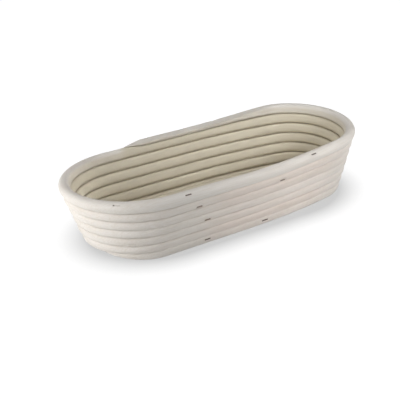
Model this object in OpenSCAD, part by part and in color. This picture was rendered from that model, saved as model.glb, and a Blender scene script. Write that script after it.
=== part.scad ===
// Long proofing basket wound from round rattan cane and held together with wire staples.
// Frame: X along the basket, Y across it, Z up; the base stands on z = 0, the origin is under its middle.
// The winding runs: front side, right end, back side, left bend; it climbs in the left bend.
// Each side is straight at first and then curves in gently, so the right end is narrower and more upright.

/* [Cane] */
// Diameter of the peeled cane
cane_d = 10.5; // [9.8:0.1:12]
// How much slimmer every second stretch of the winding is, so that its ends sit inside the next stretch
stretch_step = 0.2; // [0.2:0.05:0.4]
// Gap left between neighbouring turns
turn_gap = 0.5; // [0.5:0.05:0.7]
// Depth of the flat on the underside of the base turn
base_flat = 0.5; // [0.4:0.1:0.8]
// Clearance of the floor above the table
floor_clear = 0.1; // [0.1:0.1:0.6]
// Length of the bevel on a plain cane end
end_bevel = 2; // [1:0.5:3]

/* [Basket] */
// Length of the straight part of each side
straight_run = 90.5; // [84:0.5:110]
// Radius of the gentle curve of each side, at the rim
side_radius = 676; // [650:2:700]
// Angle through which each side curves in, in degrees
side_angle = 10.2; // [9.6:0.1:10.4]
// Outward lean of the wall from upright on the left and along the straight sides, in degrees
wall_lean = 19; // [16:1:22]
// Outward lean of the wall at the right end, in degrees
right_lean = 8; // [6:1:12]
// How much further out the wall's left bends lie, so that the first one clears the floor
wall_reach = 2.4; // [2.2:0.1:3.5]

/* [Splices and rim end] */
// Length of the slanted splice between two canes
splice_length = 40; // [34:1:46]
// Glue gap across a splice
splice_gap = 0.1; // [0.05:0.05:0.2]
// Where the pared end of the rim lies along the back, from the start of the base turn's curve
rim_end_x = -69; // [-72:1:-60]
// Length of the steep part of the pared end
rim_end_steep = 31; // [26:1:36]
// Length of the long, shallow part of the pared end
rim_end_shallow = 170; // [150:5:180]
// Thickness left where the steep part begins, as a share of the cane
rim_end_knee = 0.57; // [0.45:0.01:0.65]
// Thickness left at the very end, as a share of the cane
rim_end_tip = 0.1; // [0.08:0.01:0.16]

/* [Staples] */
// Length of the staple crown
crown_length = 8; // [7:0.5:9]
// Width of the flat staple wire
wire_width = 1.2; // [0.9:0.1:1.5]
// Thickness of the flat staple wire
wire_thick = 0.8; // [0.6:0.1:1]
// Clearance all round a staple in its slot
staple_clear = 0.1; // [0.05:0.01:0.15]
// Leg length of a seam staple
leg_length = 11; // [10:0.5:12]
// Leg length of a staple driven through the base turn into the floor or down through the rim
long_leg_length = 16; // [14:0.5:17]
// Leg length of a staple that holds a splice
short_leg_length = 8.5; // [7.5:0.5:9]

/* [Hidden] */
$fn = 48;

pitch = cane_d + turn_gap;
cane_r = cane_d/2;
slim_d = cane_d - stretch_step;
base_turn = 4;
rim_turn = 10;
base_height = cane_r - base_flat;
floor_height = cane_r + floor_clear;
// How far a slim stretch reaches into the next one
nest = 0.4;
cut_size = 600;

// Colours of the preview
cane_colour = [0.86, 0.77, 0.60];
core_colour = [0.80, 0.70, 0.52];
staple_colour = [0.42, 0.40, 0.38];

// Distance of a turn's straight part from the middle plane, and the height of its centre line
function wall_row(k) = max(0, k - base_turn);
function turn_offset(k) = (min(k, base_turn) + 0.5)*pitch + wall_row(k)*pitch*sin(wall_lean);
function turn_height(k) = k < base_turn ? floor_height : base_height + wall_row(k)*pitch*cos(wall_lean);

// The right end is more upright: higher turns begin to curve earlier and rise towards the end
function curve_x(k) = -wall_row(k)*pitch*(sin(wall_lean) - sin(right_lean));
function end_rise(k) = wall_row(k)*pitch*(cos(right_lean) - cos(wall_lean));

// Plan of a turn's right end: two gentle side curves joined by a tighter end bend
function side_r(k) = side_radius - turn_offset(rim_turn) + turn_offset(k);
function end_r(k) = (turn_offset(k) - side_r(k)*(1 - cos(side_angle)))/cos(side_angle);
function end_x(k) = (side_r(k) - end_r(k))*sin(side_angle);
function end_reach(k) = end_x(k) + end_r(k);
function end_tilt(k) = asin(end_rise(k)/end_reach(k));

// A place on a side of turn k, given by x: angle turned inward, distance out, height, lean of the wall
function past_curve(k, x) = max(0, x - curve_x(k));
function side_turn(k, x) = asin(past_curve(k, x)/side_r(k));
function side_offset(k, x) = turn_offset(k) - side_r(k)*(1 - cos(side_turn(k, x)));
function side_height(k, x) = turn_height(k) + past_curve(k, x)*tan(end_tilt(k));
function side_lean(k, x) = atan2(
  side_offset(k, x) - side_offset(k - 1, x),
  side_height(k, x) - side_height(k - 1, x)
);

// The left bend joins the back of turn k to the front of turn k + 1
function bend_x(k) = k < base_turn ? -straight_run : -straight_run - wall_reach;
function bend_span(k) = turn_offset(k) + turn_offset(k + 1);
function bend_rise(k) = turn_height(k + 1) - turn_height(k);
function bend_radius(k) = norm([bend_span(k), bend_rise(k)])/2;
function bend_tilt(k) = -atan2(bend_rise(k), bend_span(k));
function bend_centre(k) = [
  bend_x(k),
  (turn_offset(k) - turn_offset(k + 1))/2,
  (turn_height(k) + turn_height(k + 1))/2
];

// The winding is moved along X until the box is centred
left_x = bend_x(rim_turn - 1) - bend_radius(rim_turn - 1) - cane_r;
right_x = curve_x(rim_turn) + end_reach(rim_turn)*cos(end_tilt(rim_turn)) + slim_d/2;
shift_x = -(left_x + right_x)/2;

// Points on the centre line, for measuring the gap between neighbouring turns
samples = 60;
function share_of(i) = i/samples;
function side_point(k, share) = let (x = side_x(share))
  [x, side_offset(k, x), side_height(k, x)];
function end_point(k, share) =
  let (angle = side_angle + share*(180 - 2*side_angle), out = end_x(k) + end_r(k)*sin(angle))
  [curve_x(k) + out*cos(end_tilt(k)), -end_r(k)*cos(angle), turn_height(k) + out*sin(end_tilt(k))];
function bend_point(k, share) = bend_centre(k) + bend_radius(k)*[
  -sin(180*share), cos(180*share)*cos(bend_tilt(k)), cos(180*share)*sin(bend_tilt(k))
];
function least_gap(lower, upper) = min([for (a = lower, b = upper) norm(a - b)]) - cane_d;
echo(least_gap_on_sides = min([for (k = [1:rim_turn - 1]) least_gap(
  [for (i = [0:samples]) side_point(k, share_of(i))],
  [for (i = [0:samples]) side_point(k + 1, share_of(i))])]));
echo(least_gap_in_right_bends = min([for (k = [1:rim_turn - 1]) least_gap(
  [for (i = [0:samples]) end_point(k, share_of(i))],
  [for (i = [0:samples]) end_point(k + 1, share_of(i))])]));
echo(least_gap_in_left_bends = min([for (k = [1:rim_turn - 2]) least_gap(
  [for (i = [0:samples]) bend_point(k, share_of(i))],
  [for (i = [0:samples]) bend_point(k + 1, share_of(i))])]));
echo(outside_length = right_x - left_x);
echo(outside_width = 2*turn_offset(rim_turn) + cane_d);
echo(outside_height = turn_height(rim_turn) + end_rise(rim_turn) + cane_r);

// Draws something on a side: X along the cane, +Y outward, +Z up; side is 1 at the back, -1 in front
module on_side(k, side, x) {
  place = [x, side*side_offset(k, x), side_height(k, x)];
  if (side > 0)
    translate(place) rotate([0, 0, -side_turn(k, x)]) children();
  else
    translate(place) mirror([0, 1, 0]) rotate([0, 0, -side_turn(k, x)]) children();
}

// One straight length of cane along X, from x_from into the side curve
module straight_cane(k, side, x_from) {
  translate([x_from, side*turn_offset(k), turn_height(k)])
    rotate([0, 90, 0])
      cylinder(d = slim_d, h = curve_x(k) + nest - x_from);
}

module front_run(k) straight_cane(k, -1, bend_x(k - 1));
module back_run(k) straight_cane(k, 1, bend_x(k));

// The frame of a turn's right end, whose plane rises a little to the right
module at_right_end(k) {
  translate([curve_x(k), 0, turn_height(k)])
    rotate([0, -end_tilt(k), 0])
      children();
}

// Gentle curve of the front side; the back one is its mirror image
module side_curve(k) {
  translate([0, side_r(k) - turn_offset(k), 0])
    rotate([0, 0, -90])
      rotate_extrude(angle = side_angle)
        translate([side_r(k), 0])
          circle(d = cane_d);
}

module end_bend(k) {
  nest_angle = asin(nest/end_r(k));
  translate([end_x(k), 0, 0])
    rotate([0, 0, side_angle - nest_angle - 90])
      rotate_extrude(angle = 180 - 2*side_angle + 2*nest_angle)
        translate([end_r(k), 0])
          circle(d = slim_d);
}

module right_bend(k) {
  at_right_end(k) {
    side_curve(k);
    end_bend(k);
    mirror([0, 1, 0]) side_curve(k);
  }
}

module left_bend(k) {
  translate(bend_centre(k))
    rotate([bend_tilt(k), 0, 0])
      rotate([0, 0, 90])
        rotate_extrude(angle = 180)
          translate([bend_radius(k), 0])
            circle(d = cane_d);
}

// Bevelled cane end, pointing along -X
module bevelled_end() {
  rotate([0, -90, 0])
    cylinder(d1 = slim_d, d2 = slim_d - 2*end_bevel, h = end_bevel);
}

// Everything on one side of a slanted splice; keep is 1 for the cane that arrives, -1 for the one that leaves
splice_start = 4;
splice_x = -straight_run + splice_start + splice_length/2;
module splice_side(k, keep) {
  roll = k < base_turn ? 90 : 0;
  slant = atan2(splice_length, cane_d);
  translate([splice_x, turn_offset(k), turn_height(k)])
    rotate([roll, 0, 0])
      rotate([0, 0, -slant])
        translate([keep > 0 ? splice_gap/2 : -cut_size - splice_gap/2, -cut_size/2, -cut_size/2])
          cube(cut_size);
}

// Back straight of a turn up to its splice, and the piece of the next cane beyond the splice
module arriving_end(k) {
  intersection() {
    back_run(k);
    splice_side(k, 1);
  }
}

module leaving_start(k) {
  intersection() {
    back_run(k);
    splice_side(k, -1);
  }
}

// What is pared off the top of the rim's end: a long shallow cut, then a steep one
function pared_level(x, share) = side_height(rim_turn, x) + (2*share - 1)*cane_r;
module rim_paring() {
  knee_x = rim_end_x + rim_end_steep;
  full_x = knee_x + rim_end_shallow;
  beyond_x = rim_end_x - 1;
  tip_level = pared_level(rim_end_x, rim_end_tip);
  full_level = pared_level(full_x, 1);
  cut_width = turn_offset(base_turn);
  translate([0, turn_offset(rim_turn) + cane_d, 0])
    rotate([90, 0, 0])
      linear_extrude(height = cut_width)
        polygon([
          [full_x, full_level],
          [knee_x, pared_level(knee_x, rim_end_knee)],
          [rim_end_x, tip_level],
          [beyond_x, tip_level],
          [beyond_x, full_level + cane_d],
          [full_x, full_level + cane_d]
        ]);
}

// Outline of a staple: crown on top at y = 0, legs down; grow adds clearance all round
function staple_outline(legs, grow) =
  let (half = crown_length/2 + grow, inner = crown_length/2 - wire_thick - grow,
    top = grow, under = -wire_thick - grow, foot = -legs - grow, chisel = 2*wire_thick, round = 0.4)
  [[-half + round, top], [half - round, top], [half, top - round], [half, foot],
   [inner, foot + chisel], [inner, under], [-inner, under], [-inner, foot + chisel],
   [-half, foot], [-half, top - round]];

// A staple lying along X with its crown at the origin and its legs along -Z
module staple(legs) {
  rotate([90, 0, 0])
    linear_extrude(height = wire_width, center = true)
      polygon(staple_outline(legs, 0));
}

// The slot that a staple is driven into, open above the crown
module staple_slot(legs) {
  rotate([90, 0, 0])
    linear_extrude(height = wire_width + 2*staple_clear, center = true) {
      polygon(staple_outline(legs, staple_clear));
      translate([-crown_length/2 - staple_clear, -wire_thick/2])
        square([crown_length + 2*staple_clear, cane_r]);
    }
}

// Draws a staple, or its slot
module fastener(legs, slot) {
  if (slot) staple_slot(legs);
  else staple(legs);
}

// Places along a side are shares of its length, from the left bend to the end bend
side_length = straight_run + side_radius*sin(side_angle);
function side_x(share) = share*side_length - straight_run;

// Places of the staples of each wall seam, lowest first; those in the bends in degrees,
// from the back for the left bend and from the front for the right bend
front_places = [[], [], [0.181], [], [0.118, 0.574], [0.052, 0.755]];
back_places = [
  [0.8, 0.55, 0.32],
  [0.68, 0.36],
  [0.76, 0.48],
  [0.84, 0.6, 0.36],
  [0.72, 0.52, 0.3],
  [0.64, 0.44]
];
right_places = [88, 70, 106, 80, 98, 64];
left_places = [[], [146], [20], [45], [], [138]];
// Places along the base turn, the core rods and the floor turns 1 to 3
base_places = [0.209, 0.538];
core_places = [0.04, 0.32];
front_floor_places = [[0.12, 0.38], [0.06, 0.27], [0.13, 0.34, 0.8]];
back_floor_places = [[0.26, 0.38], [0.32], [0.26, 0.7]];
// Places of the staples in a splice, as shares of its length from its middle
splice_places = [-0.2, 0.2];

// How a seam staple sits: turned down round the upper cane, and slanted into the lower one
crown_drop = 24;
leg_slant = 42;
floor_leg_slant = 50;
crown_recess = 0.2;
floor_recess = 0.6;
// How a rim staple sits: turned out from the top of the rim
rim_turn_out = 25;

// Cross-section of a staple in the wall, in a frame with +Y outward and +Z up at the upper cane's centre
module seam_section(lean, slot) {
  rotate([-lean - crown_drop, 0, 0])
    translate([0, cane_r - crown_recess, 0])
      rotate([crown_drop - leg_slant, 0, 0])
        fastener(leg_length, slot);
}

// A rim staple goes in from above, through the rim into the turn below
module rim_section(lean, slot) {
  rotate([-lean - rim_turn_out, 0, 0])
    translate([0, 0, cane_r - crown_recess])
      rotate([rim_turn_out - asin(sin(rim_turn_out)*cane_r/long_leg_length), 0, 0])
        fastener(long_leg_length, slot);
}

// In front and on the left the rim is stapled from above, elsewhere every seam from outside
module visible_section(k, lean, slot) {
  if (k == rim_turn) rim_section(lean, slot);
  else seam_section(lean, slot);
}

// Staples of the seam under wall turn k
module seam_staples(k, slot = false) {
  row = wall_row(k) - 1;
  for (x = [for (share = front_places[row]) side_x(share)])
    on_side(k, -1, x) visible_section(k, side_lean(k, x), slot);
  for (x = [for (share = back_places[row]) side_x(share)])
    on_side(k, 1, x) seam_section(side_lean(k, x), slot);
  at_right_end(k)
    translate([end_x(k), 0, 0])
      rotate([0, 0, right_places[row] - 180])
        translate([0, end_r(k), 0])
          seam_section(right_lean, slot);
  for (angle = left_places[row])
    translate(bend_centre(k - 1))
      rotate([bend_tilt(k - 1), 0, 0])
        rotate([0, 0, angle])
          translate([0, bend_radius(k - 1), 0])
            visible_section(k, wall_lean, slot);
}

// Staples driven straight in through the base turn into the floor
module base_turn_fasteners(slot = false) {
  for (share = base_places, side = [-1, 1])
    on_side(base_turn, side, side_x(share))
      translate([0, cane_r - crown_recess, 0])
        rotate([-90, 0, 0])
          fastener(long_leg_length, slot);
}

// Sits under the outer of two neighbouring floor canes and slants into the inner one
module floor_section(slot) {
  rotate([-90 - crown_drop, 0, 0])
    translate([0, cane_r - floor_recess, 0])
      rotate([crown_drop - floor_leg_slant, 0, 0])
        fastener(leg_length - floor_recess, slot);
}

module floor_fasteners(k, slot = false) {
  for (share = front_floor_places[k - 1])
    on_side(k, -1, side_x(share)) floor_section(slot);
  for (share = back_floor_places[k - 1])
    on_side(k, 1, side_x(share)) floor_section(slot);
}

// The two core rods are held to each other by staples from one side only
module core_fasteners(slot = false) {
  for (share = core_places)
    translate([side_x(share), pitch/2, floor_height])
      floor_section(slot);
}

// Two staples through a splice, from outside or, on the floor, from below
module splice_fasteners(k, slot = false) {
  below = k < base_turn;
  recess = below ? floor_recess : crown_recess;
  for (share = splice_places)
    translate([splice_x + share*splice_length, turn_offset(k), turn_height(k)])
      rotate([below ? 180 : -90, 0, 0])
        translate([0, 0, cane_r - recess])
          fastener(short_leg_length - recess, slot);
}

// One staple holds the pared end down onto the turn below
rim_staple_x = rim_end_x + rim_end_steep - crown_length/2;
module rim_end_fastener(slot = false) {
  on_side(rim_turn, 1, rim_staple_x) seam_section(wall_lean, slot);
}

// Staple slots of the floor
module floor_cuts() {
  core_fasteners(slot = true);
  for (k = [1:base_turn - 1]) floor_fasteners(k, slot = true);
  base_turn_fasteners(slot = true);
  splice_fasteners(2, slot = true);
}

module below_base() {
  translate([-cut_size/2, -cut_size/2, -cut_size])
    cube(cut_size);
}

module centred() {
  translate([shift_x, 0, 0]) children();
}

// The core rods are pared on their outer sides where the first turn curves in
core_clear = 0.35;
core_pare_x = 12;
core_middle_x = 56;
core_end_x = 94;
function core_room(x) = side_offset(1, x) - cane_r - core_clear;
module core_paring() {
  linear_extrude(height = 2*cane_d)
    polygon([
      [core_pare_x, core_room(core_pare_x)],
      [core_middle_x, core_room(core_middle_x)],
      [core_end_x, core_room(core_end_x)],
      [core_end_x + 1, core_room(core_end_x)],
      [core_end_x + 1, 2*pitch],
      [core_pare_x, 2*pitch]
    ]);
}

// The back rod of the floor's core, from x_from to its pared end; the front one is drawn mirrored
module core_rod(x_from) {
  difference() {
    translate([x_from, pitch/2, floor_height]) {
      rotate([0, 90, 0]) cylinder(d = slim_d, h = core_end_x - x_from);
      bevelled_end();
    }
    core_paring();
  }
}

// The front rod reaches into the space inside the first left bend
module front_core_rod() {
  color(core_colour) centred() difference() {
    mirror([0, 1, 0]) core_rod(-straight_run - pitch);
    floor_cuts();
  }
}

module back_core_rod() {
  color(core_colour) centred() difference() {
    core_rod(-straight_run);
    floor_cuts();
  }
}

// Turns 1 and 2 of the floor, from the bevelled start to the first splice
module inner_floor_cane() {
  color(cane_colour) centred() difference() {
    union() {
      translate([-straight_run, -turn_offset(1), floor_height]) bevelled_end();
      front_run(1);
      right_bend(1);
      back_run(1);
      left_bend(1);
      front_run(2);
      right_bend(2);
      arriving_end(2);
    }
    floor_cuts();
  }
}

// Two whole turns from the splice in turn k to the splice in turn k + 2
module two_turns(k) {
  leaving_start(k);
  left_bend(k);
  front_run(k + 1);
  right_bend(k + 1);
  back_run(k + 1);
  left_bend(k + 1);
  front_run(k + 2);
  right_bend(k + 2);
  arriving_end(k + 2);
}

module outer_floor_cane() {
  color(cane_colour) centred() difference() {
    two_turns(2);
    below_base();
    floor_cuts();
    seam_staples(5, slot = true);
    splice_fasteners(4, slot = true);
  }
}

module lower_wall_cane() {
  color(cane_colour) centred() difference() {
    two_turns(4);
    below_base();
    for (k = [5:7]) seam_staples(k, slot = true);
    splice_fasteners(4, slot = true);
    splice_fasteners(6, slot = true);
  }
}

module upper_wall_cane() {
  color(cane_colour) centred() difference() {
    two_turns(6);
    for (k = [7:9]) seam_staples(k, slot = true);
    splice_fasteners(6, slot = true);
    splice_fasteners(8, slot = true);
  }
}

// Turns 9 and 10, ending in the pared end on the back
module rim_cane() {
  color(cane_colour) centred() difference() {
    union() {
      leaving_start(8);
      left_bend(8);
      front_run(9);
      right_bend(9);
      back_run(9);
      left_bend(9);
      front_run(rim_turn);
      right_bend(rim_turn);
      straight_cane(rim_turn, 1, rim_end_x);
    }
    rim_paring();
    for (k = [9:rim_turn]) seam_staples(k, slot = true);
    splice_fasteners(8, slot = true);
    rim_end_fastener(slot = true);
  }
}

module core_staples() color(staple_colour) centred() core_fasteners();
module inner_floor_staples() color(staple_colour) centred() floor_fasteners(1);
module outer_floor_staples() color(staple_colour) centred() {
  floor_fasteners(2);
  floor_fasteners(3);
}
module base_turn_staples() color(staple_colour) centred() base_turn_fasteners();
module wall_staples(row) color(staple_colour) centred() seam_staples(base_turn + row);
module floor_splice_staples() color(staple_colour) centred() splice_fasteners(2);
module base_splice_staples() color(staple_colour) centred() splice_fasteners(4);
module lower_splice_staples() color(staple_colour) centred() splice_fasteners(6);
module upper_splice_staples() color(staple_colour) centred() splice_fasteners(8);
module rim_end_staple() color(staple_colour) centred() rim_end_fastener();

front_core_rod();
back_core_rod();
inner_floor_cane();
outer_floor_cane();
lower_wall_cane();
upper_wall_cane();
rim_cane();
core_staples();
inner_floor_staples();
outer_floor_staples();
base_turn_staples();
wall_staples(1);  // wall_staples_1
wall_staples(2);  // wall_staples_2
wall_staples(3);  // wall_staples_3
wall_staples(4);  // wall_staples_4
wall_staples(5);  // wall_staples_5
wall_staples(6);  // rim_staples
floor_splice_staples();
base_splice_staples();
lower_splice_staples();
upper_splice_staples();
rim_end_staple();
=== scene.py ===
"""Long proofing basket wound from peeled rattan cane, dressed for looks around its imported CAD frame.

The canes are swept again along the CAD's own winding, with the pressed section, the waves and the dents
under the staples that real cane has. The staples are the CAD's own.
Metres, Z up, the basket stands on z = 0.
"""
import math

import bmesh
import bpy
import numpy as np
from mathutils import Matrix, Vector


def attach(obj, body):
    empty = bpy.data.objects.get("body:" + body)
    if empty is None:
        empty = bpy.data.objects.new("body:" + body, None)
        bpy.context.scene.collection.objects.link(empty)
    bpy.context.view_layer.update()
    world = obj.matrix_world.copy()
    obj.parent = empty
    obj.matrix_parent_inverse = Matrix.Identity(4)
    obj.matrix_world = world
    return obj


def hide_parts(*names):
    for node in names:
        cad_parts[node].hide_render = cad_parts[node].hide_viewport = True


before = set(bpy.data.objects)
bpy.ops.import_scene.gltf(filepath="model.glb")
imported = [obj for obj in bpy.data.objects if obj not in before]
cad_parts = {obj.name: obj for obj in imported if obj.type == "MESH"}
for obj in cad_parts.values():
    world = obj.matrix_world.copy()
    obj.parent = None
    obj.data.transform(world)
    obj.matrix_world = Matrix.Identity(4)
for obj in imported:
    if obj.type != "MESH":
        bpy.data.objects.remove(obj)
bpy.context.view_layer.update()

MM = 0.001

# Driving dimensions of the winding, the same as in the CAD source
CANE_RADIUS = 5.25 * MM
SLIM_RADIUS = 5.15 * MM
PITCH = 11.0 * MM
STRAIGHT_RUN = 90.5 * MM
SIDE_RADIUS = 676.0 * MM
SIDE_ANGLE = math.radians(10.2)
WALL_LEAN = math.radians(19)
RIGHT_LEAN = math.radians(8)
WALL_REACH = 2.4 * MM
BASE_TURN = 4
RIM_TURN = 10
BASE_HEIGHT = 4.75 * MM
FLOOR_HEIGHT = 5.35 * MM
CORE_REACH = PITCH
CORE_END_X = 94.0 * MM
END_BEVEL = 2.0 * MM

# Room kept between the core rods and the first turn, beyond half the pitch
CORE_CLEAR = 0.15 * MM

# Slanted splices between the canes; beyond STILL_LENGTH from its end a spliced cane has its full waves
SPLICE_LENGTH = 40.0 * MM
SPLICE_FROM_BEND = 4.0 * MM
SPLICE_GAP = 0.02 * MM
SPLICE_TIP = 0.03 * MM
STILL_LENGTH = 3 * SPLICE_LENGTH

# Pared end of the rim, let into the turn below it; the shares are of the cane's depth
RIM_END_X = -69.0 * MM
RIM_KNEE_X = -46.0 * MM
RIM_SLOPE_X = 5.0 * MM
RIM_FULL_X = 112.0 * MM
RIM_TIP_SHARE = 0.03
RIM_KNEE_SHARE = 0.215
LET_IN = 2.4 * MM
LET_IN_FROM_X = 105.0 * MM

# Pressed section of the cane: the hairline left on each side of a turn, and superellipse exponents
HAIRLINE = 0.05 * MM
PRESSED_HALF = PITCH / 2 - HAIRLINE
OUTER_EXPONENT = 3.1
END_EXPONENT = 1.9
INNER_EXPONENT = 4.6
INNER_UNDER_EXPONENT = 2.6
FLOOR_EXPONENT = 2.5
FREE_EXPONENT = 2.15

# Where the exponents change: by the sine of the angle round the section, and by how far a turn faces
# one of the ends
UNDER_RANGE = (-0.95, 0.2)
FREE_RANGE = (-0.2, 0.3)
BENT_RANGE = (0.1, 0.8)

# Levels count turns: whole along a turn, and rising to the next one in a left bend. How far from a whole
# level still counts as on the turn, and as near it, and half of the way to the next one
ON_TURN = 0.001
NEAR_TURN = 0.01
HALF_TURN = 0.5

# Share of the last climb over which the rim's top becomes free
RIM_BLEND = 0.1

# A ring lies at the back where its outward direction points this far along y
BEHIND_FROM = 0.5

# Natural waves of a cane: depth and wave lengths of its thickness, and of its centre line
SLACK_WAVE = 0.12 * MM
SLACK_WAVE_LENGTHS = (210.0 * MM, 83.0 * MM)
DRIFT_WAVE = 0.3 * MM
DRIFT_WAVE_LENGTHS = (470.0 * MM, 190.0 * MM)
SEED = 7

# Sampling of the sweeps
PATH_STEP = 0.5 * MM
SAME_POINT = PATH_STEP / 10
RING_STEP = 2.5 * MM
DENT_STEP = 0.5 * MM
CLOSEST_RINGS = DENT_STEP / 3
SECTION_POINTS = 48
WELD_DISTANCE = 0.001 * MM

# Staples: how far along and from a cane they hold it, and the dents that their crowns lie in
DENT_REACH = 7.0 * MM
HELD_LENGTH = 5.0 * MM
DENT_DEPTH = 0.35 * MM
DENT_HALF_LENGTH = 3.0 * MM
DENT_HALF_WIDTH = 0.6 * MM
DENT_EDGE = 0.5 * MM
DENT_CATCH = 2.5 * MM


def smooth(value, low, high):
    """Smooth step from 0 at low to 1 at high."""
    share = np.clip((value - low) / (high - low), 0.0, 1.0)
    return share * share * (3.0 - 2.0 * share)


def blend(first, second, share):
    """First value at a share of 0, second at a share of 1."""
    return first + (second - first) * share


def unit(vectors):
    """Vectors scaled to a length of 1."""
    return vectors / np.linalg.norm(vectors, axis=-1, keepdims=True)


# Winding: where each turn lies

def wall_row(turn):
    """How many turns a turn lies above the base turn."""
    return max(0, turn - BASE_TURN)


def turn_offset(turn):
    """Distance of a turn's straight part from the middle plane."""
    return (min(turn, BASE_TURN) + 0.5) * PITCH + wall_row(turn) * PITCH * math.sin(WALL_LEAN)


def turn_height(turn):
    """Height of a turn's centre line on its straight part."""
    if turn < BASE_TURN:
        return FLOOR_HEIGHT
    return BASE_HEIGHT + wall_row(turn) * PITCH * math.cos(WALL_LEAN)


def curve_x(turn):
    """Where a turn's sides begin to curve in: earlier on higher turns, as the right end is steeper."""
    return -wall_row(turn) * PITCH * (math.sin(WALL_LEAN) - math.sin(RIGHT_LEAN))


def side_radius(turn):
    """Radius of a turn's gentle side curves."""
    return SIDE_RADIUS - turn_offset(RIM_TURN) + turn_offset(turn)


def end_radius(turn):
    """Radius of the end bend that joins the two side curves of a turn."""
    return (turn_offset(turn) - side_radius(turn) * (1 - math.cos(SIDE_ANGLE))) / math.cos(SIDE_ANGLE)


def end_x(turn):
    """Distance of the end bend's centre from where the sides begin to curve."""
    return (side_radius(turn) - end_radius(turn)) * math.sin(SIDE_ANGLE)


def end_reach(turn):
    """Distance of a turn's farthest point from where its sides begin to curve."""
    return end_x(turn) + end_radius(turn)


def end_tilt(turn):
    """Angle by which the plane of a turn's right end rises."""
    rise = wall_row(turn) * PITCH * (math.cos(RIGHT_LEAN) - math.cos(WALL_LEAN))
    return math.asin(rise / end_reach(turn))


def side_offset(turn, x):
    """Distance of a turn's side from the middle plane at x, up to the end bend."""
    past = np.maximum(0.0, x - curve_x(turn))
    return turn_offset(turn) - side_radius(turn) + np.sqrt(side_radius(turn) ** 2 - past ** 2)


def bend_x(turn):
    """Where the left bend that joins a turn to the next one begins."""
    return -STRAIGHT_RUN if turn < BASE_TURN else -STRAIGHT_RUN - WALL_REACH


def bend_radius(turn):
    """Radius of the left bend that joins a turn to the next one."""
    span = turn_offset(turn) + turn_offset(turn + 1)
    rise = turn_height(turn + 1) - turn_height(turn)
    return math.hypot(span, rise) / 2


LEFT_X = bend_x(RIM_TURN - 1) - bend_radius(RIM_TURN - 1) - CANE_RADIUS
RIGHT_X = curve_x(RIM_TURN) + end_reach(RIM_TURN) * math.cos(end_tilt(RIM_TURN)) + SLIM_RADIUS
SHIFT_X = -(LEFT_X + RIGHT_X) / 2
SPLICE_X = -STRAIGHT_RUN + SPLICE_FROM_BEND + SPLICE_LENGTH / 2


# Stretches of the winding: each gives centre points, outward directions, levels and leans of the wall

# The two sides of a turn, as signs along y
FRONT = -1
BACK = 1


def steps(length):
    """Number of samples along a stretch."""
    return max(2, int(round(length / PATH_STEP)) + 1)


def run(turn, side, x_from, x_to):
    """Straight run of a turn, on its front or back side."""
    x = np.linspace(x_from, x_to, steps(abs(x_to - x_from)))
    y = np.full_like(x, side * turn_offset(turn))
    points = np.stack([x, y, np.full_like(x, turn_height(turn))], -1)
    outward = np.tile([0.0, float(side), 0.0], (len(x), 1))
    return points, outward, np.full_like(x, turn), np.full_like(x, WALL_LEAN)


def front(turn):
    """Front of a turn, from the left bend that climbs to it as far as the right end."""
    return run(turn, FRONT, bend_x(turn - 1), curve_x(turn))


def back(turn, x_from=None, x_to=None):
    """Back of a turn, from the right end to the left bend that climbs from it, or a part of it."""
    start_x = curve_x(turn) if x_from is None else x_from
    stop_x = bend_x(turn) if x_to is None else x_to
    return run(turn, BACK, start_x, stop_x)


def right(turn):
    """Right end of a turn from front to back: a gentle side curve, the end bend and a side curve."""
    bend_angle = math.pi - 2 * SIDE_ANGLE
    curve = np.linspace(0.0, SIDE_ANGLE, steps(SIDE_ANGLE * side_radius(turn)))
    bend = np.linspace(SIDE_ANGLE, math.pi - SIDE_ANGLE, steps(bend_angle * end_radius(turn)))
    curve_reach = side_radius(turn) * np.sin(curve)
    curve_offset = turn_offset(turn) - side_radius(turn) * (1 - np.cos(curve))
    heading = np.concatenate([curve, bend, math.pi - curve[::-1]])
    reach = np.concatenate([curve_reach, end_x(turn) + end_radius(turn) * np.sin(bend), curve_reach[::-1]])
    across = np.concatenate([-curve_offset, -end_radius(turn) * np.cos(bend), curve_offset[::-1]])
    tilt = end_tilt(turn)
    x = curve_x(turn) + reach * math.cos(tilt)
    z = turn_height(turn) + reach * math.sin(tilt)
    points = np.stack([x, across, z], -1)
    outward = np.stack([np.sin(heading), -np.cos(heading), np.zeros_like(heading)], -1)
    step_out = math.sin(WALL_LEAN) - (math.sin(WALL_LEAN) - math.sin(RIGHT_LEAN)) * np.sin(heading)
    step_up = math.cos(WALL_LEAN) + (math.cos(RIGHT_LEAN) - math.cos(WALL_LEAN)) * reach / end_reach(turn)
    return points, outward, np.full_like(heading, turn), np.arctan2(step_out, step_up)


def left(turn):
    """Left bend from the back of a turn up to the front of the next one."""
    radius = bend_radius(turn)
    low, high = turn_height(turn), turn_height(turn + 1)
    inner, outer = turn_offset(turn), turn_offset(turn + 1)
    tilt = -math.atan2(high - low, inner + outer)
    centre = [bend_x(turn), (inner - outer) / 2, (low + high) / 2]
    share = np.linspace(0.0, 1.0, steps(math.pi * radius))
    angle = math.pi * share
    along, across = -np.sin(angle), np.cos(angle)
    arm = np.stack([along, across * math.cos(tilt), across * math.sin(tilt)], -1)
    outward = np.stack([along, across, np.zeros_like(angle)], -1)
    return arm * radius + centre, outward, turn + smooth(share, 0.0, 1.0), np.full_like(angle, WALL_LEAN)


def leaving(turn):
    """Start of the cane that leaves the splice in a turn."""
    return back(turn, x_from=SPLICE_X + SPLICE_LENGTH / 2)


def arriving(turn):
    """End of the cane that arrives at the splice in a turn."""
    return back(turn, x_to=SPLICE_X - SPLICE_LENGTH / 2)


def whole_turn(turn):
    """Front, right end and back of a turn."""
    return [front(turn), right(turn), back(turn)]


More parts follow.
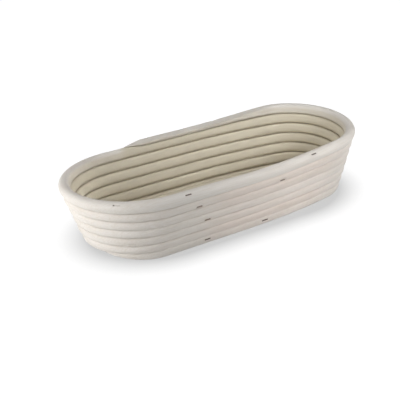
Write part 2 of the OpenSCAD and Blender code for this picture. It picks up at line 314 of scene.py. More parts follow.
def two_turns(turn):
    """From the splice in a turn to the splice two turns on."""
    first = [leaving(turn), left(turn), *whole_turn(turn + 1)]
    return [*first, left(turn + 1), front(turn + 2), right(turn + 2), arriving(turn + 2)]


class Path:
    """One cane's centre line, sampled finely, that can be read at any length along it."""

    def __init__(self, stretches):
        points, outward, level, lean = (np.concatenate(parts) for parts in zip(*stretches))
        points = points + [SHIFT_X, 0, 0]
        gaps = np.linalg.norm(np.diff(points, axis=0), axis=1)
        keep = np.concatenate([[True], gaps > SAME_POINT])
        self.points = points[keep]
        self.outward = outward[keep]
        self.level = level[keep]
        self.lean = lean[keep]
        gaps = np.linalg.norm(np.diff(self.points, axis=0), axis=1)
        self.along = np.concatenate([[0.0], np.cumsum(gaps)])
        self.length = self.along[-1]
        self.tangents = np.gradient(self.points, self.along, axis=0)

    def read(self, values, at):
        """Values of the path at given lengths along it."""
        if values.ndim == 1:
            return np.interp(at, self.along, values)
        return np.stack([np.interp(at, self.along, values[:, axis]) for axis in range(3)], -1)

    def nearest(self, point):
        """Length along the path, and distance, of the point nearest to a given one."""
        distance = np.linalg.norm(self.points - point, axis=1)
        best = int(np.argmin(distance))
        return self.along[best], distance[best]


# Staples: read from the CAD nodes, so that the canes can be dented where the crowns lie

def loose_parts(mesh):
    """Points of each separate solid in a CAD mesh."""
    welded = bmesh.new()
    welded.from_mesh(mesh)
    bmesh.ops.remove_doubles(welded, verts=welded.verts, dist=WELD_DISTANCE)
    left_over = set(welded.verts)
    parts = []
    while left_over:
        found = {left_over.pop()}
        edge = list(found)
        while edge:
            vert = edge.pop()
            for link in vert.link_edges:
                other = link.other_vert(vert)
                if other not in found:
                    found.add(other)
                    edge.append(other)
        left_over -= found
        parts.append(np.array([list(vert.co) for vert in found]))
    welded.free()
    return parts


def crown_of(points):
    """Crown centre of one staple, with its outward, lengthwise and crosswise directions."""
    middle = points.mean(axis=0)
    spread = points - middle
    axes = np.linalg.svd(spread, full_matrices=False)[2]
    skew = [float(np.sum((spread @ axis) ** 3)) for axis in axes[:2]]
    leg = 0 if abs(skew[0]) > abs(skew[1]) else 1
    outward = -np.sign(skew[leg]) * axes[leg]
    reach = float(np.max(spread @ outward))
    return middle + outward * reach, outward, axes[1 - leg], axes[2]


STAPLE_NODES = sorted(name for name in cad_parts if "staple" in name)
crowns = [crown_of(part) for name in STAPLE_NODES for part in loose_parts(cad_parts[name].data)]


def held_places(path):
    """Lengths along the path at which a staple lies on the cane."""
    found = [path.nearest(centre) for centre, _, _, _ in crowns]
    return [at for at, distance in found if distance < DENT_REACH]


def pressed_by_staples(path, at):
    """1 where a staple presses the cane against its neighbour, 0 farther along."""
    share = np.zeros_like(at)
    for held_at in held_places(path):
        share = np.maximum(share, 1.0 - smooth(np.abs(at - held_at), HELD_LENGTH, 2 * HELD_LENGTH))
    return share


def dent(points):
    """Press the points near each staple's crown in below it, in place."""
    for centre, outward, lengthwise, crosswise in crowns:
        offset = points - centre
        height = offset @ outward
        along = np.abs(offset @ lengthwise)
        across = np.abs(offset @ crosswise)
        press = 1.0 - smooth(along, DENT_HALF_LENGTH, DENT_HALF_LENGTH + DENT_EDGE)
        press *= 1.0 - smooth(across, DENT_HALF_WIDTH, DENT_HALF_WIDTH + DENT_EDGE)
        press[(np.abs(height) > DENT_CATCH) | (height < -DENT_DEPTH)] = 0.0
        points -= outward * (press * (height + DENT_DEPTH))[:, None]


# Rings: where the sections of a cane lie, and how they are shaped

def ring_places(path, spliced_start, spliced_end):
    """Lengths along the path that get a ring: evenly spread, and close together at staples and splices."""
    places = [np.linspace(0.0, path.length, int(path.length / RING_STEP) + 1)]
    if spliced_start:
        places.append(np.arange(0.0, SPLICE_LENGTH + RING_STEP, DENT_STEP))
    if spliced_end:
        places.append(np.arange(path.length - SPLICE_LENGTH - RING_STEP, path.length, DENT_STEP))
    for held_at in held_places(path):
        places.append(np.arange(held_at - DENT_REACH, held_at + DENT_REACH, DENT_STEP))
    merged = np.unique(np.concatenate(places))
    merged = merged[(merged >= 0.0) & (merged <= path.length)]
    keep = np.concatenate([[True], np.diff(merged) > CLOSEST_RINGS])
    return merged[keep]


def waves(at, draws, amplitude, lengths):
    """Slow natural waviness along a cane."""
    total = np.zeros_like(at)
    for length in lengths:
        total += np.sin(2 * math.pi * at / length + draws.uniform(0, 2 * math.pi))
    return amplitude * total / len(lengths)


def away_from_splices(path, at, spliced_start, spliced_end):
    """0 along a splice, so that both canes lie still there, and 1 farther away."""
    share = np.ones_like(at)
    if spliced_start:
        share = share * smooth(at, SPLICE_LENGTH, STILL_LENGTH)
    if spliced_end:
        share = share * smooth(path.length - at, SPLICE_LENGTH, STILL_LENGTH)
    return share


def free_top(level, x, behind):
    """1 where nothing lies above the turn: on the rim, and on the turn below it beyond the pared end."""
    below_rim = RIM_TURN - 1
    beyond = 1.0 - smooth(x, RIM_END_X - PITCH, RIM_END_X)
    last_back = (level > below_rim - NEAR_TURN) * behind * beyond
    return np.maximum(last_back, smooth(level, below_rim, below_rim + RIM_BLEND))


def let_in(level, x, behind):
    """How far the rim's thin end is let into the turn below it, for the rings of both turns."""
    both_turns = (level > RIM_TURN - 1 - NEAR_TURN) & (np.abs(level - np.round(level)) < ON_TURN)
    depth = LET_IN * smooth(x, RIM_END_X, RIM_KNEE_X) * (1.0 - smooth(x, RIM_SLOPE_X, LET_IN_FROM_X))
    return depth * (behind & both_turns)


class Rings:
    """The rings of one cane: places, directions, levels, leans, and how each is pressed or free."""

    def __init__(self, path, at):
        self.at = at
        self.centre = path.read(path.points, at)
        self.x = self.centre[:, 0] - SHIFT_X
        self.level = path.read(path.level, at)
        self.lean = (path.read(path.lean, at) * smooth(self.level, BASE_TURN - 1, BASE_TURN + 1))[:, None]
        tangent = unit(path.read(path.tangents, at))
        outward = path.read(path.outward, at)
        outward = unit(outward - tangent * np.sum(outward * tangent, axis=-1, keepdims=True))
        upward = np.cross(outward, tangent)
        upward *= np.sign(upward[:, 2:3])
        self.side_axis = np.cos(self.lean) * outward - np.sin(self.lean) * upward
        self.up_axis = np.cos(self.lean) * upward + np.sin(self.lean) * outward
        self.behind = outward[:, 1] > BEHIND_FROM
        self.free = free_top(self.level, self.x, self.behind)
        self.sunk = let_in(self.level, self.x, self.behind)
        self.bent = smooth(np.abs(outward[:, 0]), *BENT_RANGE) * (1.0 - pressed_by_staples(path, at))


def section(rings, slack):
    """Section of the cane at each ring: side, up, and how near each point is to the next turn."""
    angle = np.linspace(0.0, 2 * math.pi, SECTION_POINTS, endpoint=False)[None, :]
    cosine = np.cos(angle)
    sine = np.sin(angle)
    free = rings.free[:, None]
    sunk = rings.sunk[:, None]
    rim = (rings.level > RIM_TURN - HALF_TURN)[:, None]
    wall = smooth(rings.level, BASE_TURN - 1, BASE_TURN)[:, None]
    half_side = CANE_RADIUS * wall + PRESSED_HALF * (1 - wall) - np.abs(slack)[:, None]
    half_up = PRESSED_HALF * wall + CANE_RADIUS * (1 - wall)
    half_up = half_up - sunk * (~rim & (sine > 0)) + sunk * (rim & (sine < 0))
    outer_exponent = blend(OUTER_EXPONENT, END_EXPONENT, rings.bent[:, None])
    under = smooth(-sine, *UNDER_RANGE) * (1.0 - free)
    inner_exponent = blend(INNER_EXPONENT, INNER_UNDER_EXPONENT, under)
    exponent = blend(inner_exponent, outer_exponent, (1 + cosine) / 2)
    exponent = blend(FLOOR_EXPONENT, exponent, wall)
    exponent = blend(exponent, FREE_EXPONENT, free * smooth(sine, *FREE_RANGE))
    reach = (np.abs(cosine / half_side) ** exponent + np.abs(sine / half_up) ** exponent) ** (-1 / exponent)
    side = reach * cosine
    up = reach * sine
    on_wall = wall > 0.5
    nearness = np.where(on_wall, np.abs(up) / half_up, np.abs(side) / half_side)
    return side, up, nearness * (1.0 - free * (sine > 0))


# Cuts: each changes the side and up coordinates of the rings' points in place

def room_at(share):
    """Half width that a cane's section has where a cut crosses it, at a share of its half depth."""
    deep = np.minimum(np.abs(share), 1.0)
    return PRESSED_HALF * (1.0 - deep ** OUTER_EXPONENT) ** (1 / OUTER_EXPONENT)


def paring_limit(x, side, lean):
    """Up coordinate of the cut that pares the rim's end: level, but square to the wall at the tip."""
    rise = np.clip((x - RIM_SLOPE_X) / (RIM_FULL_X - RIM_SLOPE_X), 0.0, 1.0)
    shares = np.interp(x, [RIM_END_X, RIM_KNEE_X], [RIM_TIP_SHARE, RIM_KNEE_SHARE])
    shares = shares + (1.0 - RIM_KNEE_SHARE) * rise ** 2
    levelness = smooth(x, RIM_END_X, RIM_KNEE_X)
    return (2 * shares - 1) * CANE_RADIUS / np.cos(lean) + levelness * side * np.tan(lean)


def pare_rim_end(rings, side, up):
    """Cut the rim's end along its long slope, no wider than the section is there."""
    here = rings.behind & (rings.level > RIM_TURN - NEAR_TURN) & (rings.x < RIM_FULL_X)
    limit = paring_limit(rings.x[here][:, None], side[here], rings.lean[here])
    room = room_at(np.minimum(limit, 0.0) / (PRESSED_HALF + rings.sunk[here][:, None]))
    side[here] = np.where(up[here] > limit, np.clip(side[here], -room, room), side[here])
    up[here] = np.minimum(up[here], limit)


def cut_splice(rings, side, up, turn, starts):
    """Cut the cane along the slant of a splice; starts is True for the cane that leaves it."""
    past = rings.x - SPLICE_X
    here = rings.behind & (np.abs(rings.level - turn) < ON_TURN) & (np.abs(past) <= SPLICE_LENGTH / 2)
    plane = past[here][:, None] * 2 * CANE_RADIUS / SPLICE_LENGTH
    limit = np.clip(plane, SPLICE_TIP - CANE_RADIUS, CANE_RADIUS - SPLICE_TIP)
    cut, other = (up, side) if turn < BASE_TURN else (side, up)
    beyond = cut[here] < limit if starts else cut[here] > limit
    room = room_at(limit / CANE_RADIUS)
    gap = SPLICE_GAP / 2 if starts else -SPLICE_GAP / 2
    other[here] = np.where(beyond, np.clip(other[here], -room, room), other[here])
    cut[here] = np.where(beyond, limit + gap, cut[here])


def bevel_start(rings, side, up):
    """Narrow the cane towards its sawn start."""
    shrink = 1.0 - (END_BEVEL - np.minimum(rings.at, END_BEVEL)) / CANE_RADIUS
    side *= shrink[:, None]
    up *= shrink[:, None]


# Sweeps: from rings to closed tubes

def ring_points(rings, drift, side, up):
    """Points of all rings, kept above the table, and those of the core rods inside the first turn."""
    centre = rings.centre + rings.side_axis * drift[:, None]
    points = centre[:, None, :] + side[..., None] * rings.side_axis[:, None, :]
    points = points + up[..., None] * rings.up_axis[:, None, :]
    points[..., 2] = np.maximum(points[..., 2], 0.0)
    core = rings.level < HALF_TURN
    room = side_offset(1, points[core, :, 0] - SHIFT_X) - PITCH / 2 - CORE_CLEAR
    points[core, :, 1] = np.clip(points[core, :, 1], -room, room)
    return points.reshape(-1, 3)


def tube_mesh(name, points):
    """Closed tube through the rings, with a cap on each end as its last two faces."""
    around = np.arange(SECTION_POINTS)[None, :]
    ring = np.arange(len(points) // SECTION_POINTS - 1)[:, None] * SECTION_POINTS
    here = ring + around
    after = ring + (around + 1) % SECTION_POINTS
    quads = np.stack([here, after, after + SECTION_POINTS, here + SECTION_POINTS], -1)
    first_cap = list(range(SECTION_POINTS))[::-1]
    last_cap = list(range(len(points) - SECTION_POINTS, len(points)))
    mesh = bpy.data.meshes.new(name)
    mesh.from_pydata(points.tolist(), [], quads.reshape(-1, 4).tolist() + [first_cap, last_cap])
    return mesh


def finish_faces(mesh):
    """Turn the faces outward, and shade all but the two caps smooth."""
    fixed = bmesh.new()
    fixed.from_mesh(mesh)
    bmesh.ops.recalc_face_normals(fixed, faces=fixed.faces)
    fixed.to_mesh(mesh)
    fixed.free()
    smooth_flags = [True] * (len(mesh.polygons) - 2) + [False] * 2
    mesh.polygons.foreach_set("use_smooth", smooth_flags)


def sweep_cane(name, stretches, slot, index, start_splice=None, end_splice=None, bevelled=False):
    """Build one cane as a closed tube along its path, with its splices, pared end and dents."""
    path = Path(stretches)
    spliced = (start_splice is not None, end_splice is not None)
    at = ring_places(path, *spliced)
    rings = Rings(path, at)
    draws = np.random.default_rng(SEED + index)
    still = away_from_splices(path, at, *spliced)
    slack = still * waves(at, draws, SLACK_WAVE, SLACK_WAVE_LENGTHS)
    drift = still * waves(at, draws, DRIFT_WAVE, DRIFT_WAVE_LENGTHS)
    side, up, nearness = section(rings, slack)
    pare_rim_end(rings, side, up)
    if start_splice is not None:
        cut_splice(rings, side, up, start_splice, starts=True)
    if end_splice is not None:
        cut_splice(rings, side, up, end_splice, starts=False)
    if bevelled:
        bevel_start(rings, side, up)
    points = ring_points(rings, drift, side, up)
    dent(points)
    mesh = tube_mesh(name, points)
    add_attributes(mesh, rings, side, up, nearness, index)
    finish_faces(mesh)
    piece = bpy.data.objects.new("rattan_" + name, mesh)
    bpy.context.scene.collection.objects.link(piece)
    piece.data.materials.append(MATERIALS[slot])
    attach(piece, "root")
    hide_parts(name)


# Values that the cane material reads at each point

# How pink each turn's outer face is, from the floor's core to the rim; it fades towards both ends
PINK_OF_TURN = (0.3, 0.3, 0.4, 0.3, 0.6, 1.0, 0.8, 0.6, 0.9, 1.0, 0.2)
PINK_MIDDLE_X = 30.0 * MM
PINK_HALF_RUN = 50.0 * MM
PINK_FADE = 0.75

# How much of the outer face's tone the inner face keeps, on the rim and where the turn below it lies free
RIM_PALENESS = 0.6
BELOW_RIM_PALENESS = 0.35

# Where the outer face's tone gives way to the inner one, in cane radii: inward on the wall, upward on
# the floor; and the levels over which the floor's rule gives way to the wall's
WALL_TONE_RANGE = (-0.5, 0.6)
FLOOR_TONE_RANGE = (-0.6, 0.4)
WALL_TONE_LEVELS = (BASE_TURN - 0.8, BASE_TURN - 0.1)

# Where a free top takes on the outer face's tone, in cane radii upward
RIM_TONE_RANGE = (0.0, 0.7)

# Where the groove's darkening, partly dirt and partly painted shade, begins and is full; 1 is where the next
# turn touches
GROOVE_RANGE = (0.9, 1.0)

# Shifts that give each cane and each turn its own part of the fibre pattern, in metres
CANE_SHIFT = 3.0
TURN_SHIFT = 0.1


def inner_tone(rings, side, up):
    """0 on the outer face of the cane, 1 on its inner face."""
    across = side / CANE_RADIUS
    above = up / CANE_RADIUS
    wall = smooth(rings.level, *WALL_TONE_LEVELS)[:, None]
    tone = smooth(-across, *WALL_TONE_RANGE) * wall + (1 - wall) * smooth(above, *FLOOR_TONE_RANGE)
    turns = [RIM_TURN - 1, RIM_TURN]
    kept = np.interp(rings.level, turns, [BELOW_RIM_PALENESS, RIM_PALENESS])[:, None]
    paleness = kept + (1.0 - kept) * smooth(above, *RIM_TONE_RANGE)
    return tone * (1.0 - rings.free[:, None] * paleness)


def add_attributes(mesh, rings, side, up, nearness, index):
    """Give the mesh its fibre coordinates, pinkness, inner tone, and the grooves' darkening by dirt and
    painted shade.
    """
    lengthwise = np.repeat((rings.at + index * CANE_SHIFT)[:, None], SECTION_POINTS, axis=1)
    fibre = np.stack([lengthwise, side + rings.level[:, None] * TURN_SHIFT, up], -1)
    from_middle = np.abs(rings.x - PINK_MIDDLE_X)
    pink = np.interp(rings.level, range(len(PINK_OF_TURN)), PINK_OF_TURN)
    pink = pink * (1.0 - PINK_FADE * smooth(from_middle, PINK_HALF_RUN, 2 * PINK_HALF_RUN))
    fields = {
        "pink": np.repeat(pink[:, None], SECTION_POINTS, axis=1),
        "inside": inner_tone(rings, side, up),
        "groove_dirt_and_shade": smooth(nearness, *GROOVE_RANGE),
    }
    attribute = mesh.attributes.new("fibre", "FLOAT_VECTOR", "POINT")
    attribute.data.foreach_set("vector", fibre.reshape(-1).astype(np.float32))
    for name, values in fields.items():
        attribute = mesh.attributes.new(name, "FLOAT", "POINT")
        attribute.data.foreach_set("value", values.reshape(-1).astype(np.float32))


# Materials

NOISE_ROUGHNESS = 0.55

# Numbers of the mix node's colour sockets: its two inputs and its result
MIX_FIRST = 6
MIX_SECOND = 7
MIX_RESULT = 2


class Nodes:
    """Small helper that adds and links shader nodes."""

    def __init__(self, tree):
        self.tree = tree
        tree.nodes.clear()

    def add(self, kind, inputs=None, **settings):
        """New node with its settings, and its inputs set or linked."""
        node = self.tree.nodes.new(kind)
        for key, value in settings.items():
            setattr(node, key, value)
        for key, value in (inputs or {}).items():
            self.set(node.inputs[key], value)
        return node

    def set(self, socket, value):
        """Link a socket to another one, or give it a value."""
        if isinstance(value, bpy.types.NodeSocket):
            self.tree.links.new(value, socket)
        else:
            socket.default_value = value

    def attribute(self, name):
        """Attribute of the mesh."""
        return self.add("ShaderNodeAttribute", attribute_name=name, attribute_type="GEOMETRY")

    def noise(self, vector, stretch, detail):
        """Noise over a vector, with features per metre along each axis."""
        scaled = self.add("ShaderNodeVectorMath", {0: vector, 1: stretch}, operation="MULTIPLY")
        inputs = {"Vector": scaled.outputs[0], "Scale": 1.0, "Detail": detail, "Roughness": NOISE_ROUGHNESS}
        return self.add("ShaderNodeTexNoise", inputs).outputs["Fac"]

    def remap(self, value, source, target):
        """Value moved from one range to another, and kept within it."""
        inputs = {"Value": value, "From Min": source[0], "From Max": source[1],
                  "To Min": target[0], "To Max": target[1]}
        return self.add("ShaderNodeMapRange", inputs).outputs["Result"]

    def mix(self, factor, first, second):
        """Colour between two colours."""
        inputs = {"Factor": factor, MIX_FIRST: first, MIX_SECOND: second}
        node = self.add("ShaderNodeMix", inputs, data_type="RGBA", blend_type="MIX")
        return node.outputs[MIX_RESULT]

    def math(self, operation, first, second=0.0):
        """One step of arithmetic."""
        return self.add("ShaderNodeMath", {0: first, 1: second}, operation=operation).outputs[0]

    def end(self, kind, socket):
        """Output node of the material or world."""
        self.set(self.add(kind).inputs["Surface"], socket)


def new_material(name):
    """New node material and its helper."""
    material = bpy.data.materials.new(name)
    material.use_nodes = True
    return material, Nodes(material.node_tree)


# Cane: colours, and how far its grooves take on theirs, a darkening that is partly dirt and partly painted
# shade
OUTER_PALE = (0.73, 0.705, 0.665, 1.0)
OUTER_PINK = (0.73, 0.655, 0.605, 1.0)
INNER_BEIGE = (0.65, 0.6, 0.48, 1.0)
STREAK_DARK = (0.56, 0.48, 0.38, 1.0)
OUTER_GROOVE_DIRT_AND_SHADE = (0.46, 0.41, 0.38, 1.0)
INNER_GROOVE_DIRT_AND_SHADE = (0.36, 0.28, 0.18, 1.0)
OUTER_GROOVE_SHARE = 0.55
INNER_GROOVE_SHARE = 0.4

# Fibre of the cane: features per metre along and across it, detail, range of noise that shows, share
STREAK_STRETCH = (45.0, 900.0, 900.0)
STREAK_DETAIL = 4.0
STREAK_RANGE = (0.42, 0.72)
STREAK_SHARE = 0.3
PORE_STRETCH = (160.0, 3600.0, 3600.0)
PORE_DETAIL = 2.0
PORE_RANGE = (0.6, 0.8)
PORE_SHARE = 0.35
BLOTCH_STRETCH = (9.0, 60.0, 60.0)
BLOTCH_DETAIL = 2.0
BLOTCH_RANGE = (0.35, 0.7)
BLOTCH_SHARE = 0.16

# Surface of the cane
PORE_RELIEF = 0.6
CANE_BUMP = 0.35
CANE_BUMP_DEPTH = 0.25 * MM
CANE_ROUGHNESS = (0.55, 0.72)
CANE_SPECULAR = 0.3

# Range of noise over which a roughness changes
ROUGHNESS_RANGE = (0.3, 0.7)


def cane_material(name):
    """Peeled rattan core: long fibre streaks, pores, blotches, and grooves between the turns darkened by
    dirt and painted shade.
    """
    material, nodes = new_material(name)
    fibre = nodes.attribute("fibre").outputs["Vector"]
    inside = nodes.attribute("inside").outputs["Fac"]
    streaks = nodes.noise(fibre, STREAK_STRETCH, STREAK_DETAIL)
    pores = nodes.noise(fibre, PORE_STRETCH, PORE_DETAIL)
    blotches = nodes.noise(fibre, BLOTCH_STRETCH, BLOTCH_DETAIL)
    outer = nodes.mix(nodes.attribute("pink").outputs["Fac"], OUTER_PALE, OUTER_PINK)
    colour = nodes.mix(inside, outer, INNER_BEIGE)
    colour = nodes.mix(nodes.remap(blotches, BLOTCH_RANGE, (0.0, BLOTCH_SHARE)), colour, STREAK_DARK)
    colour = nodes.mix(nodes.remap(streaks, STREAK_RANGE, (0.0, STREAK_SHARE)), colour, STREAK_DARK)
    colour = nodes.mix(nodes.remap(pores, PORE_RANGE, (0.0, PORE_SHARE)), colour, STREAK_DARK)
    # Painted shade, partly dirt: the grooves between the turns are darkened towards the groove colours
    groove_share = nodes.remap(inside, (0.0, 1.0), (OUTER_GROOVE_SHARE, INNER_GROOVE_SHARE))
    groove_dirt_and_shade = nodes.math("MULTIPLY", nodes.attribute("groove_dirt_and_shade").outputs["Fac"], groove_share)
    colour = nodes.mix(groove_dirt_and_shade, colour, nodes.mix(inside, OUTER_GROOVE_DIRT_AND_SHADE, INNER_GROOVE_DIRT_AND_SHADE))
    relief = nodes.math("ADD", streaks, nodes.math("MULTIPLY", pores, PORE_RELIEF))
    bump = {"Strength": CANE_BUMP, "Distance": CANE_BUMP_DEPTH, "Height": relief}
    shader = nodes.add("ShaderNodeBsdfPrincipled", {
        "Base Color": colour,
        "Roughness": nodes.remap(streaks, ROUGHNESS_RANGE, CANE_ROUGHNESS),
        "Normal": nodes.add("ShaderNodeBump", bump).outputs["Normal"],
        "Specular IOR Level": CANE_SPECULAR,
    })
    nodes.end("ShaderNodeOutputMaterial", shader.outputs["BSDF"])
    return material


# Wire of the staples: colours painted dark as the shade in its dents, the stretch that is pale with flour,
# and surface
WIRE_SHADE_DARK = (0.085, 0.07, 0.06, 1.0)
WIRE_SHADE_BROWN = (0.17, 0.115, 0.08, 1.0)
WIRE_FLOURED = (0.58, 0.54, 0.49, 1.0)
FLOUR_FROM_X = -141.3 * MM
FLOUR_TO_X = -118.0 * MM
FLOUR_EDGE = 0.8 * MM
STAIN_STRETCH = (900.0, 900.0, 900.0)
STAIN_DETAIL = 3.0
STAIN_RANGE = (0.4, 0.65)
SCRATCH_STRETCH = (300.0, 5000.0, 5000.0)
SCRATCH_DETAIL = 2.0
WIRE_METALLIC = 0.55
WIRE_ROUGHNESS = (0.42, 0.62)
WIRE_BUMP = 0.2
WIRE_BUMP_DEPTH = 0.05 * MM


def staple_material():
    """Dull flat wire, painted dark as the shade in the dents it lies in, with brown stains, and pale with
    flour near the left end.
    """
    material, nodes = new_material("dull_staple_wire_painted_shade")
    place = nodes.add("ShaderNodeTexCoord").outputs["Object"]
    stain = nodes.noise(place, STAIN_STRETCH, STAIN_DETAIL)
    scratches = nodes.noise(place, SCRATCH_STRETCH, SCRATCH_DETAIL)
    along = nodes.add("ShaderNodeSeparateXYZ", {0: place}).outputs["X"]
    begun = nodes.remap(along, (FLOUR_FROM_X, FLOUR_FROM_X + FLOUR_EDGE), (0.0, 1.0))
    ended = nodes.remap(along, (FLOUR_TO_X, FLOUR_TO_X + FLOUR_EDGE), (1.0, 0.0))
    flour = nodes.math("MULTIPLY", begun, ended)
    # Painted shade: both wire colours are dark for the shade in the crowns' dents; the stain noise varies
    # between them
    colour = nodes.mix(nodes.remap(stain, STAIN_RANGE, (0.0, 1.0)), WIRE_SHADE_DARK, WIRE_SHADE_BROWN)
    colour = nodes.mix(flour, colour, WIRE_FLOURED)
    bump = {"Strength": WIRE_BUMP, "Distance": WIRE_BUMP_DEPTH, "Height": scratches}
    shader = nodes.add("ShaderNodeBsdfPrincipled", {
        "Base Color": colour,
        "Metallic": nodes.remap(flour, (0.0, 1.0), (WIRE_METALLIC, 0.0)),
        "Roughness": nodes.remap(stain, ROUGHNESS_RANGE, WIRE_ROUGHNESS),
        "Normal": nodes.add("ShaderNodeBump", bump).outputs["Normal"],
    })
    nodes.end("ShaderNodeOutputMaterial", shader.outputs["BSDF"])
    return material


MATERIALS = {
    "wall_cane": cane_material("peeled_rattan_wall"),
    "floor_cane": cane_material("peeled_rattan_floor"),
}
wire = staple_material()
for node_name in STAPLE_NODES:
    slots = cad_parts[node_name].data.materials
    slots.clear()
    slots.append(wire)

# The canes, from the floor's core to the rim

core_front = [run(0, FRONT, -STRAIGHT_RUN - CORE_REACH - END_BEVEL, CORE_END_X)]
core_back = [run(0, BACK, -STRAIGHT_RUN - END_BEVEL, CORE_END_X)]
first_turns = [run(1, FRONT, -STRAIGHT_RUN - END_BEVEL, curve_x(1)), right(1), back(1), left(1),
               front(2), right(2), arriving(2)]
rim_turns = [leaving(8), left(8), *whole_turn(9), left(9), front(RIM_TURN), right(RIM_TURN),
             back(RIM_TURN, x_to=RIM_END_X)]
sweep_cane("front_core_rod", core_front, "floor_cane", 0, bevelled=True)
sweep_cane("back_core_rod", core_back, "floor_cane", 1, bevelled=True)
sweep_cane("inner_floor_cane", first_turns, "floor_cane", 2, end_splice=2, bevelled=True)
sweep_cane("outer_floor_cane", two_turns(2), "wall_cane", 3, start_splice=2, end_splice=4)
sweep_cane("lower_wall_cane", two_turns(4), "wall_cane", 4, start_splice=4, end_splice=6)
sweep_cane("upper_wall_cane", two_turns(6), "wall_cane", 5, start_splice=6, end_splice=8)
sweep_cane("rim_cane", rim_turns, "wall_cane", 6, start_splice=8)

# Stage: a floor that looks white and keeps the shadow; its glow is dimmed beside and under the foot, a
# painted shadow

FLOOR_SIZE = 8.0
FLOOR_DROP = 0.05 * MM
FLOOR_COLOUR = (0.8, 0.8, 0.8, 1.0)
FLOOR_SEEN_COLOUR = (0.1, 0.1, 0.1, 1.0)
# Painted shadow: the glow falls to SHADOW_GLOW at the foot from SHADOW_REACH away, and deep under the foot
# to UNDER_GLOW of that
SHADOW_GLOW = 0.54
SHADOW_REACH = 50.0 * MM
UNDER_FOOT = 20.0 * MM
UNDER_GLOW = 0.02
FOOT_MIDDLE_X = 7.0 * MM
FOOT_HALF_RUN = 74.3 * MM
FOOT_RADIUS = 72.7 * MM
FOOT_NARROWING = 1.216
WORLD_COLOUR = (1.0, 1.0, 1.0, 1.0)
WORLD_STRENGTH = 0.01


def seen_directly(nodes):
    """1 for camera, glossy and transmission rays, 0 for the rays that carry light to surfaces."""
    path = nodes.add("ShaderNodeLightPath").outputs
    seen = nodes.math("MAXIMUM", path["Is Camera Ray"], path["Is Glossy Ray"])
    return nodes.math("MAXIMUM", seen, path["Is Transmission Ray"])


def foot_distance(nodes):
    """Distance on the floor from the basket's long foot."""
    place = nodes.add("ShaderNodeTexCoord").outputs["Object"]
    axes = nodes.add("ShaderNodeSeparateXYZ", {0: place}).outputs
    from_middle = nodes.math("ABSOLUTE", nodes.math("SUBTRACT", axes["X"], FOOT_MIDDLE_X))
    past_run = nodes.math("MAXIMUM", nodes.math("SUBTRACT", from_middle, FOOT_HALF_RUN), 0.0)
    widened = nodes.math("MULTIPLY", nodes.math("ABSOLUTE", axes["Y"]), FOOT_NARROWING)
    squares = nodes.math("ADD", nodes.math("POWER", past_run, 2.0), nodes.math("POWER", widened, 2.0))
    return nodes.math("SUBTRACT", nodes.math("SQRT", squares), FOOT_RADIUS)


def build_floor():
    """Large level sheet just under the basket, whose glow is dimmed near and under the foot as a painted
    shadow.
    """
    half = FLOOR_SIZE / 2
    corners = [(x, y, -FLOOR_DROP) for x, y in ((-half, -half), (half, -half), (half, half), (-half, half))]
    mesh = bpy.data.meshes.new("stage_floor")
    mesh.from_pydata(corners, [], [(0, 1, 2, 3)])
    floor = bpy.data.objects.new("stage_floor", mesh)
    bpy.context.scene.collection.objects.link(floor)
    material, nodes = new_material("stage_white")
    seen = seen_directly(nodes)
    diffuse = nodes.add("ShaderNodeBsdfDiffuse", {"Color": nodes.mix(seen, FLOOR_COLOUR, FLOOR_SEEN_COLOUR)})
    distance = foot_distance(nodes)
    # Painted shadow: the glow is dimmed by nearness to the foot, and almost put out under it
    nearness = nodes.remap(distance, (0.0, SHADOW_REACH), (1.0, 0.0))
    shade = nodes.math("MULTIPLY", nodes.math("POWER", nearness, 2.0), 1.0 - SHADOW_GLOW)
    outside_foot = nodes.remap(distance, (-2 * UNDER_FOOT, -UNDER_FOOT), (UNDER_GLOW, 1.0))
    glow_share = nodes.math("MULTIPLY", nodes.math("SUBTRACT", 1.0, shade), outside_foot)
    glow = nodes.add("ShaderNodeEmission", {"Strength": nodes.math("MULTIPLY", seen, glow_share)})
    both = nodes.add("ShaderNodeAddShader", {0: diffuse.outputs[0], 1: glow.outputs[0]})
    nodes.end("ShaderNodeOutputMaterial", both.outputs[0])
    mesh.materials.append(material)


def build_world():
    """White to look at, but with little light of its own."""
    world = bpy.data.worlds.new("studio")
    bpy.context.scene.world = world
    world.use_nodes = True
    nodes = Nodes(world.node_tree)
    strength = nodes.remap(seen_directly(nodes), (0.0, 1.0), (WORLD_STRENGTH, 1.0))
    background = nodes.add("ShaderNodeBackground", {"Color": WORLD_COLOUR, "Strength": strength})
    nodes.end("ShaderNodeOutputWorld", background.outputs[0])


def build_lamp(name, place, aim, size, spread, power):
    """One square lamp that points at its aim."""
    data = bpy.data.lights.new(name, "AREA")
    data.size = size
    data.spread = math.radians(spread)
    data.energy = power
    lamp = bpy.data.objects.new(name, data)
    lamp.location = place
    lamp.rotation_euler = (Vector(aim) - Vector(place)).to_track_quat("-Z", "Y").to_euler()
    bpy.context.scene.collection.objects.link(lamp)


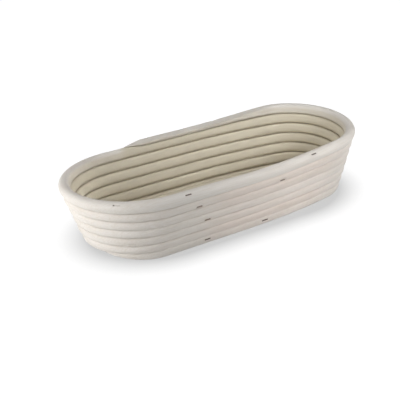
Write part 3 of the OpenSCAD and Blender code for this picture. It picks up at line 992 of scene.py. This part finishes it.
# Softboxes and spots: name, place, aim, size, spread in degrees and power in watts
LAMPS = (
    ("left_softbox", (-0.75, 0.02, 0.12), (-0.1, 0.0, 0.03), 0.5, 180, 5.7),
    ("front_softbox", (0.3, -0.66, 0.4), (0.1, -0.05, 0.03), 0.4, 180, 2.45),
    ("right_spot", (0.1, -0.58, 0.38), (0.085, -0.04, 0.05), 0.15, 32, 0.047),
    ("inner_spot", (0.6, 0.0, 0.35), (-0.12, 0.02, 0.045), 0.08, 14, 0.016),
    ("top_softbox", (0.1, 0.0, 1.0), (0.0, 0.0, 0.0), 0.8, 180, 3.3),
)
build_floor()
build_world()
for lamp_values in LAMPS:
    build_lamp(*lamp_values)

# Camera at the photograph's viewing angle, found by fitting the winding's grooves and outline to the photo

VIEW_X = 2.27 * MM
VIEW_Z = 67.15 * MM
AZIMUTH = math.radians(-33.678)
ELEVATION = math.radians(23.687)
ROLL = math.radians(-0.581)
DISTANCE = 792.4 * MM
AIM_RIGHT = -18.795 * MM
AIM_UP = -50.874 * MM
FOCAL_PIXELS = 778.8
PHOTO_PIXELS = 400
SENSOR_WIDTH = 36.0


def build_camera():
    """Camera that stands off from a point on the basket and aims a little to the side of it."""
    viewed = Vector((VIEW_X + SHIFT_X, 0.0, VIEW_Z))
    level = math.cos(ELEVATION)
    toward = Vector((math.sin(AZIMUTH) * level, -math.cos(AZIMUTH) * level, math.sin(ELEVATION)))
    across = Vector((math.cos(AZIMUTH), math.sin(AZIMUTH), 0.0))
    above = toward.cross(across)
    place = viewed + toward * DISTANCE
    target = viewed + across * AIM_RIGHT + above * AIM_UP
    looking = (target - place).to_track_quat("-Z", "Y").to_matrix()
    data = bpy.data.cameras.new("photo_camera")
    data.sensor_width = SENSOR_WIDTH
    data.lens = FOCAL_PIXELS / PHOTO_PIXELS * SENSOR_WIDTH
    camera = bpy.data.objects.new("photo_camera", data)
    camera.matrix_world = Matrix.Translation(place) @ (looking @ Matrix.Rotation(ROLL, 3, "Z")).to_4x4()
    bpy.context.scene.collection.objects.link(camera)
    bpy.context.scene.camera = camera


build_camera()
bpy.context.scene.view_settings.view_transform = "Standard"
